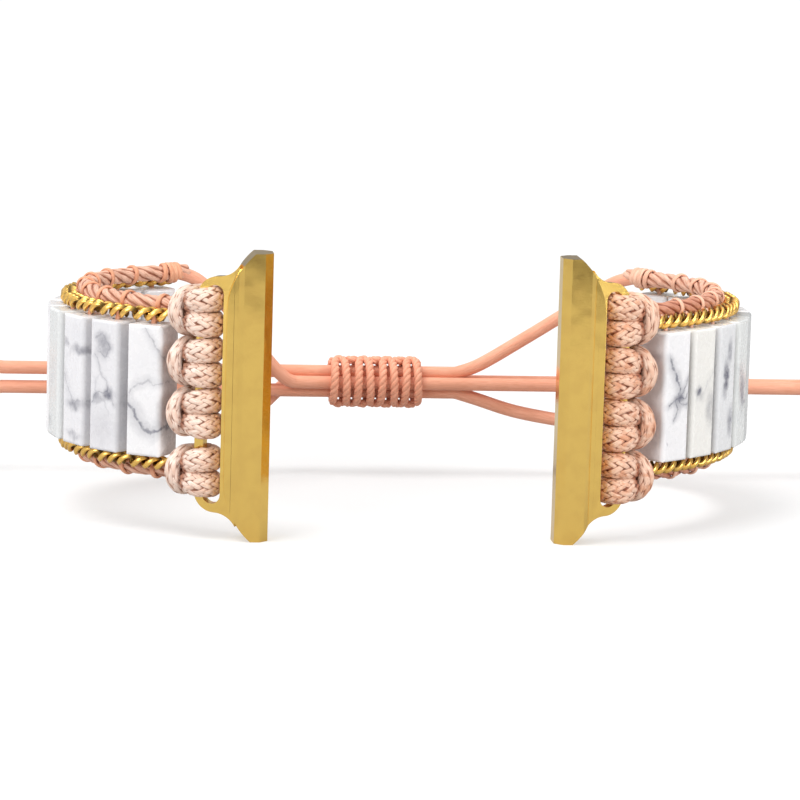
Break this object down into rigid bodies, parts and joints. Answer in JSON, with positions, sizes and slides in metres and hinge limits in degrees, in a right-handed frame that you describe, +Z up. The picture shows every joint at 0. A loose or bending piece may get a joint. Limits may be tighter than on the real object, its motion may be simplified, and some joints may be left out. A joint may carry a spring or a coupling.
{
  "type": "beaded watch band",
  "caption": "Bracelet band of square stone beads between knotted side cords, with slide-in lugs for a watch case and a sliding knot closure.",
  "frame": {"origin": "middle of the watch seat: halfway between the two lugs, on the line that they slide along", "axes": "+X across the watch from the left lug to the right one, +Y from the watch's face towards the closure, +Z up along the beads, with the band standing on its edge"},
  "size_m": [0.122, 0.053, 0.034],
  "materials": {
    "stone": "polished white stone with grey veins",
    "gold": "polished yellow gold plating",
    "steel": "plain",
    "knot_cord": "flat braid of waxed thread, light peach",
    "edge_cord": "twisted cord, brownish pink",
    "closure_cord": "smooth waxed cord, salmon"
  },
  "bodies": {
    "sliding_knot": {"sliding_knot": "closure_cord"},
    "closure_left": {"cord_left_upper": "closure_cord", "cord_left_lower": "closure_cord"},
    "link_left_9": {"bead_left_9": "stone", "edge_left_9": "edge_cord"},
    "link_left_8": {"bead_left_8": "stone", "edge_left_8": "edge_cord"},
    "link_left_7": {"bead_left_7": "stone", "edge_left_7": "edge_cord"},
    "link_left_6": {"bead_left_6": "stone", "edge_left_6": "edge_cord"},
    "link_left_5": {"bead_left_5": "stone", "edge_left_5": "edge_cord"},
    "link_left_4": {"bead_left_4": "stone", "edge_left_4": "edge_cord"},
    "link_left_3": {"bead_left_3": "stone", "edge_left_3": "edge_cord"},
    "link_left_2": {"bead_left_2": "stone", "edge_left_2": "edge_cord"},
    "link_left_1": {"bead_left_1": "stone", "edge_left_1": "edge_cord"},
    "knots_left": {"knot_left_1": "knot_cord", "knot_left_2": "knot_cord", "knot_left_3": "knot_cord", "knot_left_4": "knot_cord"},
    "lug_left": {"tongue_left": "gold", "slot_loop_left": "gold", "latch_spring_left": "steel"},
    "latch_left": {"latch_left": "steel"},
    "closure_right": {"cord_right_upper": "closure_cord", "cord_right_lower": "closure_cord"},
    "link_right_9": {"bead_right_9": "stone", "edge_right_9": "edge_cord"},
    "link_right_8": {"bead_right_8": "stone", "edge_right_8": "edge_cord"},
    "link_right_7": {"bead_right_7": "stone", "edge_right_7": "edge_cord"},
    "link_right_6": {"bead_right_6": "stone", "edge_right_6": "edge_cord"},
    "link_right_5": {"bead_right_5": "stone", "edge_right_5": "edge_cord"},
    "link_right_4": {"bead_right_4": "stone", "edge_right_4": "edge_cord"},
    "link_right_3": {"bead_right_3": "stone", "edge_right_3": "edge_cord"},
    "link_right_2": {"bead_right_2": "stone", "edge_right_2": "edge_cord"},
    "link_right_1": {"bead_right_1": "stone", "edge_right_1": "edge_cord"},
    "knots_right": {"knot_right_1": "knot_cord", "knot_right_2": "knot_cord", "knot_right_3": "knot_cord", "knot_right_4": "knot_cord"},
    "lug_right": {"tongue_right": "gold", "slot_loop_right": "gold", "latch_spring_right": "steel"},
    "latch_right": {"latch_right": "steel"}
  },
  "joints": [
    {"name": "closure_slide_left", "type": "slide", "parent": "sliding_knot", "child": "closure_left", "axis": [-1, 0, 0], "range_m": [-0.012, 0.04], "deforming": ["cord_left_upper", "cord_left_lower"]},
    {"name": "bead_hinge_left_9", "type": "hinge", "parent": "closure_left", "child": "link_left_9", "pos_m": [-0.02625, 0.03889, 0], "axis": [0, 0, 1], "range_deg": [-12, 18]},
    {"name": "bead_hinge_left_8", "type": "hinge", "parent": "link_left_9", "child": "link_left_8", "pos_m": [-0.03052, 0.0368, 0], "axis": [0, 0, 1], "range_deg": [-15.66, 14.34]},
    {"name": "bead_hinge_left_7", "type": "hinge", "parent": "link_left_8", "child": "link_left_7", "pos_m": [-0.03407, 0.03365, 0], "axis": [0, 0, 1], "range_deg": [-15.62, 14.38]},
    {"name": "bead_hinge_left_6", "type": "hinge", "parent": "link_left_7", "child": "link_left_6", "pos_m": [-0.03664, 0.02965, 0], "axis": [0, 0, 1], "range_deg": [-15.56, 14.44]},
    {"name": "bead_hinge_left_5", "type": "hinge", "parent": "link_left_6", "child": "link_left_5", "pos_m": [-0.03804, 0.02511, 0], "axis": [0, 0, 1], "range_deg": [-15.5, 14.5]},
    {"name": "bead_hinge_left_4", "type": "hinge", "parent": "link_left_5", "child": "link_left_4", "pos_m": [-0.03818, 0.02036, 0], "axis": [0, 0, 1], "range_deg": [-15.42, 14.58]},
    {"name": "bead_hinge_left_3", "type": "hinge", "parent": "link_left_4", "child": "link_left_3", "pos_m": [-0.03705, 0.01575, 0], "axis": [0, 0, 1], "range_deg": [-15.32, 14.68]},
    {"name": "bead_hinge_left_2", "type": "hinge", "parent": "link_left_3", "child": "link_left_2", "pos_m": [-0.03474, 0.0116, 0], "axis": [0, 0, 1], "range_deg": [-15.16, 14.84]},
    {"name": "bead_hinge_left_1", "type": "hinge", "parent": "link_left_2", "child": "link_left_1", "pos_m": [-0.03142, 0.0082, 0], "axis": [0, 0, 1], "range_deg": [-14.75, 15.25]},
    {"name": "knot_hinge_left", "type": "hinge", "parent": "link_left_1", "child": "knots_left", "pos_m": [-0.02735, 0.00575, 0], "axis": [0, 0, 1], "range_deg": [-5, 12]},
    {"name": "lug_hinge_left", "type": "hinge", "parent": "knots_left", "child": "lug_left", "pos_m": [-0.0249, 0.002, 0], "axis": [0, 0, 1], "range_deg": [-20, 20]},
    {"name": "latch_push_left", "type": "slide", "parent": "lug_left", "child": "latch_left", "axis": [0, -1, 0], "range_m": [0, 0.00055], "stiffness_N_per_m": 400, "springref_m": -0.001, "deforming": ["latch_spring_left"]},
    {"name": "closure_slide_right", "type": "slide", "parent": "sliding_knot", "child": "closure_right", "axis": [1, 0, 0], "range_m": [-0.012, 0.04], "deforming": ["cord_right_upper", "cord_right_lower"]},
    {"name": "bead_hinge_right_9", "type": "hinge", "parent": "closure_right", "child": "link_right_9", "pos_m": [0.0328, 0.04142, 0], "axis": [0, 0, -1], "range_deg": [-12, 18]},
    {"name": "bead_hinge_right_8", "type": "hinge", "parent": "link_right_9", "child": "link_right_8", "pos_m": [0.03633, 0.03824, 0], "axis": [0, 0, -1], "range_deg": [-16.44, 13.56]},
    {"name": "bead_hinge_right_7", "type": "hinge", "parent": "link_right_8", "child": "link_right_7", "pos_m": [0.03882, 0.0342, 0], "axis": [0, 0, -1], "range_deg": [-15.61, 14.39]},
    {"name": "bead_hinge_right_6", "type": "hinge", "parent": "link_right_7", "child": "link_right_6", "pos_m": [0.04012, 0.02963, 0], "axis": [0, 0, -1], "range_deg": [-14.7, 15.3]},
    {"name": "bead_hinge_right_5", "type": "hinge", "parent": "link_right_6", "child": "link_right_5", "pos_m": [0.04022, 0.02488, 0], "axis": [0, 0, -1], "range_deg": [-13.67, 16.33]},
    {"name": "bead_hinge_right_4", "type": "hinge", "parent": "link_right_5", "child": "link_right_4", "pos_m": [0.0392, 0.02024, 0], "axis": [0, 0, -1], "range_deg": [-12.49, 17.51]},
    {"name": "bead_hinge_right_3", "type": "hinge", "parent": "link_right_4", "child": "link_right_3", "pos_m": [0.0372, 0.01593, 0], "axis": [0, 0, -1], "range_deg": [-11.05, 18.95]},
    {"name": "bead_hinge_right_2", "type": "hinge", "parent": "link_right_3", "child": "link_right_2", "pos_m": [0.03441, 0.01209, 0], "axis": [0, 0, -1], "range_deg": [-9.17, 20.83]},
    {"name": "bead_hinge_right_1", "type": "hinge", "parent": "link_right_2", "child": "link_right_1", "pos_m": [0.03104, 0.00874, 0], "axis": [0, 0, -1], "range_deg": [-5.85, 24.15]},
    {"name": "knot_hinge_right", "type": "hinge", "parent": "link_right_1", "child": "knots_right", "pos_m": [0.02735, 0.00575, 0], "axis": [0, 0, -1], "range_deg": [-5, 12]},
    {"name": "lug_hinge_right", "type": "hinge", "parent": "knots_right", "child": "lug_right", "pos_m": [0.0249, 0.002, 0], "axis": [0, 0, -1], "range_deg": [-20, 20]},
    {"name": "latch_push_right", "type": "slide", "parent": "lug_right", "child": "latch_right", "axis": [0, -1, 0], "range_m": [0, 0.00055], "stiffness_N_per_m": 400, "springref_m": -0.001, "deforming": ["latch_spring_right"]}
  ]
}
